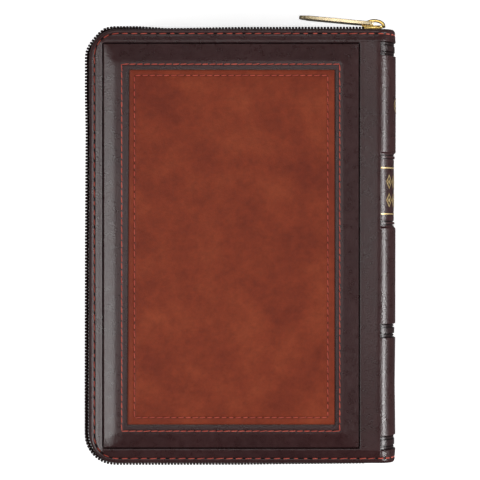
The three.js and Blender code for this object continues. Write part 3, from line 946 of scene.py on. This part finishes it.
def coil_turn():
    """One turn of the coil: a flat oval loop, leaning like the turns of a spring."""
    bm = bmesh.new()
    bmesh.ops.create_circle(bm, cap_ends=False, radius=0.49, segments=5)
    bmesh.ops.rotate(bm, verts=bm.verts, matrix=Matrix.Rotation(math.pi / 2, 3, "Y"))
    bmesh.ops.translate(bm, verts=bm.verts, vec=(0, 1.0, 0))
    bmesh.ops.rotate(bm, verts=bm.verts, matrix=Matrix.Rotation(math.pi / 2, 3, "Z"),
                     cent=(0, 1.0, 0))
    bmesh.ops.spin(bm, geom=bm.verts[:] + bm.edges[:], cent=(0, 0, 0), axis=(1, 0, 0), steps=9,
                   angle=2 * math.pi, use_merge=True)
    bmesh.ops.recalc_face_normals(bm, faces=bm.faces)
    bmesh.ops.scale(bm, verts=bm.verts, vec=(1, 0.85, 1.45))
    return bm


for side, sign in SIDES:
    body = f"{side}_cover"
    bm = bmesh.new()
    outer, inner = [], []
    for number, (x, z) in enumerate(TAPE_LINE):
        away = TAPE_BOX[0] - x
        box = grown(TAPE_BOX, away)
        sway = (number / (len(TAPE_LINE) - 1)) ** 2
        for rows, shift in ((outer, 0.2), (inner, -0.2)):
            # the tape's two faces lie either side of its middle line
            ahead = TAPE_LINE[min(number + 1, len(TAPE_LINE) - 1)]
            behind = TAPE_LINE[max(number - 1, 0)]
            dx, dz = ahead[0] - behind[0], ahead[1] - behind[1]
            long = math.hypot(dx, dz)
            off, up = -dz / long * shift, dx / long * shift
            grow = grown(box, off)
            line = rail((grow[0], TAPE_BOX[1], *grow[2:]))
            rows.append([(*swayed(line, i, sway), z - up) for i in range(len(line))])
    loft(bm, outer + inner[::-1], closed=False, ring=True, capped=True)
    tape = piece(f"{side}_tape", bm, cloth_finish, sign, 55)
    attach(tape, body)
    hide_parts(f"{side}_zipper_tape")

    shift, inset = (0.0, 0.0) if sign > 0 else (TURN_PITCH / 2, 0.75)
    places = spaced(rail(COIL_LINE, across=60, up=90), TURN_PITCH)
    matrices = []
    for (x, y), angle in places:
        cx, cy = x + shift * math.cos(angle), y + shift * math.sin(angle)
        out = waviness(x, y) - inset
        cx, cy = cx + out * math.sin(angle), cy - out * math.cos(angle)
        matrices.append(Matrix.Translation((cx, cy, 1.15)) @ Matrix.Rotation(angle, 4, "Z")
                        @ Matrix.Rotation(math.radians(9), 4, "Y"))
    bm = scattered(coil_turn(), matrices)
    coil = piece(f"{side}_coil", bm, coil_finish, sign, 50)
    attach(coil, body)
    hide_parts(f"{side}_zipper_coil")

# ------------------------------------------------------------------ slider, pull and stops
# The slider is a die-cast, gold-plated body: two plates, a post and an arched crown. The
# pull is a flat stamped tab on the crown, and folded metal stops are clamped on the coils.
def gilded(name, dull, bright, rough):
    """Plated metal, hazed a little by handling."""
    made, shader, handling, _ = figured(name, rough, "TexNoise",
                                        {"Scale": 260.0, "Detail": 5, "Roughness": 0.6},
                                        ((0.3, dull), (0.7, bright)), 0.04, 0.0002, metallic=1.0)
    haze = node(made, "MapRange", {"From Min": 0.35, "From Max": 0.7,
                                   "To Min": rough - 0.05, "To Max": rough + 0.09})
    wire(made, handling, "Fac", haze, "Value")
    wire(made, haze, "Result", shader, "Roughness")
    return made


gold_finish = gilded("gold_plate", (0.86, 0.57, 0.16), (0.97, 0.71, 0.26), 0.18)
pale_gold = gilded("pale_gold_plate", (0.93, 0.74, 0.44), (1.0, 0.84, 0.56), 0.22)

SLIDER_X0, SLIDER_X1 = 58.6, 69.7
CROWN_X, CROWN_Y = 64.2, 104.45
PULL_X, PULL_Y, PULL_TILT = 64.6, 105.75, 5.3
PULL_LENGTH, PULL_WIDTH, PULL_THICK = 36.2, 7.5, 1.8


def slab(line, y0, y1, bevel):
    """A plate cut from a line in the X-Z plane, thick along Y, its edges softened."""
    bm = bmesh.new()
    face = bm.faces.new([bm.verts.new((x, y0, z)) for x, z in line])
    made = bmesh.ops.extrude_face_region(bm, geom=[face])["geom"]
    lifted = [v for v in made if isinstance(v, bmesh.types.BMVert)]
    bmesh.ops.translate(bm, verts=lifted, vec=(0, y1 - y0, 0))
    bmesh.ops.recalc_face_normals(bm, faces=bm.faces)
    rims = [e for e in bm.edges if e.is_manifold and e.calc_face_angle() > 1.2]
    bmesh.ops.bevel(bm, geom=rims, offset=bevel, segments=3, profile=0.5, affect="EDGES",
                    material=-1)
    return bm


def slider_outline(shrink=0.0):
    """The slider's plate: narrow and square where the chain leaves, round at its mouth."""
    x0, x1 = SLIDER_X0 + shrink, SLIDER_X1 - shrink
    near, mouth = 3.4 - shrink, 4.4 - shrink
    upper = [(x0, near - 0.8), (x0 + 0.25, near - 0.25), (x0 + 0.8, near), (x1 - 4.5, mouth)]
    for i in range(1, 9):
        t = math.radians(90 - 90 * i / 9)
        upper.append((x1 - 4.5 + 4.5 * math.cos(t), mouth * math.sin(t)))
    return upper + [(x1, 0.0)] + [(x, -z) for x, z in reversed(upper)]


def join(target, *others):
    """Adds the other closed shells to the first one."""
    for other in others:
        part = bpy.data.meshes.new("part")
        other.to_mesh(part)
        other.free()
        target.from_mesh(part)
        bpy.data.meshes.remove(part)
    return target


def strap():
    """The crown: a flat strap arched over the outer plate, its edges rounded."""
    bm = bmesh.new()
    rows = []
    for i in range(25):
        t = math.pi * i / 24
        ring = []
        for a in range(0, 360, 30):
            c, s = math.cos(math.radians(a)), math.sin(math.radians(a))
            band = 0.75 * math.copysign(abs(c) ** 0.6, c)
            wide = 1.15 * math.copysign(abs(s) ** 0.6, s)
            grow_x, grow_y = 4.6 + band, 3.25 + band
            flat = math.sin(t) ** 0.8 if 0 < t < math.pi else 0
            ring.append((CROWN_X + 0.3 + grow_x * math.cos(t), CROWN_Y - 0.2 + grow_y * flat, wide))
        rows.append(ring)
    loft(bm, rows, closed=True, capped=True)
    return bm


outer_plate = slab(slider_outline(), 104.15, 104.85, 0.22)
inner_plate = slab(slider_outline(0.15), 100.75, 101.4, 0.22)
post = slab([(63.2, -0.42), (65.0, -0.42), (65.3, 0.0), (65.0, 0.42), (63.2, 0.42), (62.9, 0.0)],
            101.2, 104.4, 0.12)
flanges = [slab([(59.4, z), (68.2, z), (68.2, z + 0.75), (59.4, z + 0.75)], y0, y1, 0.2)
           for z in (3.05, -3.8) for y0, y1 in ((103.35, 104.4), (101.1, 101.95))]
whole = join(outer_plate, inner_plate, post, strap(), *flanges)
slider_body = piece("slider_body", whole, gold_finish, 1, 35)
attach(slider_body, "slider")
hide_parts("zipper_slider")


def tab_outline():
    """Round at the free end, softly squared at the eye."""
    length, half = PULL_LENGTH, PULL_WIDTH / 2
    line = []
    for cx, cz, r, start in ((-1.45, half - 0.8, 0.8, 0), (-length + 2.8, half - 2.8, 2.8, 90),
                             (-length + 2.8, 2.8 - half, 2.8, 180),
                             (-1.45, 0.8 - half, 0.8, 270)):
        line += arc(cx, cz, r, start, 6)
    return line


def eye_outline():
    line = []
    for cx, cz, start in ((-1.9, 1.3, 0), (-6.0, 1.3, 90), (-6.0, -1.3, 180), (-1.9, -1.3, 270)):
        line += arc(cx, cz, 0.6, start, 6)
    return line


def ring_plate(outer, inner, thick, bevel):
    """A plate with a hole of the same number of corners, drawn as rings from eye to rim."""
    def eased(line, other, away):
        return [(x + (ox - x) * away, z + (oz - z) * away) for (x, z), (ox, oz) in zip(line, other)]
    half, edge = thick / 2, thick / 2 - bevel
    near, far = eased(inner, outer, 0.06), eased(outer, inner, 0.09)
    rows = [[(x, y, z) for x, z in line] for line, y in (
        (inner, -edge), (inner, edge), (near, half), (far, half),
        (outer, edge), (outer, -edge), (far, -half), (near, -half))]
    bm = bmesh.new()
    loft(bm, rows, closed=True, ring=True)
    return bm


bm = ring_plate(tab_outline(), eye_outline(), PULL_THICK, 0.22)
tilted = Matrix.Translation((PULL_X, PULL_Y, 0)) @ Matrix.Rotation(math.radians(-PULL_TILT), 4, "Z")
bmesh.ops.transform(bm, matrix=tilted, verts=bm.verts)
tab = piece("pull_tab", bm, pale_gold, 1, 30)
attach(tab, "pull")
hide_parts("zipper_pull")

for side, sign in SIDES:
    for name, y in (("head", 102.85), ("tail", -102.85)):
        clamp = slab([(60.1, 0.9), (62.1, 0.9), (62.1, 2.9), (60.1, 2.9)], y - 1.0, y + 1.0, 0.35)
        stop = piece(f"{side}_{name}_clamp", clamp, gold_finish, sign, 40)
        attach(stop, f"{side}_cover")
        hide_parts(f"{side}_{name}_stop")

# ------------------------------------------------------------------ studio
# A plain white floor, a large soft light from the fore-edge side, a narrower one from the
# spine side, a weak one from the head, a card over the book and one over the pull, and the
# camera straight above.
floor_finish, floor_shader = material("white_floor", 0.85)
place = node(floor_finish, "TexCoord")
mottle = node(floor_finish, "TexNoise", {"Scale": 3.0, "Detail": 2})
wire(floor_finish, place, "Object", mottle, "Vector")
tint = ramp(floor_finish, mottle, "Fac", ((0.3, (0.9, 0.9, 0.9)), (0.7, (0.92, 0.92, 0.92))))
wire(floor_finish, tint, "Color", floor_shader, "Base Color")
floor_shader.inputs["Emission Color"].default_value = (1.0, 1.0, 1.0, 1)
floor_shader.inputs["Emission Strength"].default_value = 0.6
bm = bmesh.new()
bmesh.ops.create_grid(bm, x_segments=1, y_segments=1, size=4.0)
data = bpy.data.meshes.new("floor")
bm.to_mesh(data)
bm.free()
data.materials.append(floor_finish)
floor = bpy.data.objects.new("floor", data)
floor.location.z = -0.0002
floor.visible_glossy = False
bpy.context.scene.collection.objects.link(floor)


def softbox(name, place, aim, width, height, radiance):
    """A flat light that shines evenly from its whole face."""
    data = bpy.data.lights.new(name, "AREA")
    data.shape = "RECTANGLE"
    data.size, data.size_y = width, height
    data.energy = radiance * math.pi * width * height
    light = bpy.data.objects.new(name, data)
    light.location = place
    light.rotation_mode = "QUATERNION"
    light.rotation_quaternion = (Vector(aim) - Vector(place)).to_track_quat("-Z", "Y")
    bpy.context.scene.collection.objects.link(light)


softbox("fore_edge_light", (-1.2, -0.42, 1.06), (0, -0.42, 0), 1.3, 1.1, 3.7)
softbox("spine_light", (1.57, -0.42, 0.66), (0, -0.42, 0), 1.3, 0.36, 16.5)
softbox("head_light", (0.0, 1.7, 0.9), (0, 0, 0), 1.6, 0.8, 1.3)
softbox("middle_card", (0.0, 0.0, 1.15), (0, 0, 0), 0.9, 0.22, 1.6)
softbox("pull_card", (0.11, 0.265, 1.0), (0.05, 0.107, 0.02), 0.2, 0.14, 2.6)

world = bpy.data.worlds.new("studio")
world.use_nodes = True
world.node_tree.nodes["Background"].inputs["Color"].default_value = (1.0, 1.0, 1.0, 1)
world.node_tree.nodes["Background"].inputs["Strength"].default_value = 0.07
bpy.context.scene.world = world
bpy.context.scene.view_settings.view_transform = "Standard"

camera_data = bpy.data.cameras.new("camera")
camera_data.lens = 151.6
camera_data.sensor_width = 36
camera = bpy.data.objects.new("camera", camera_data)
camera.location = (0.000235, 0.00254, 0.985)
bpy.context.scene.collection.objects.link(camera)
bpy.context.scene.camera = camera
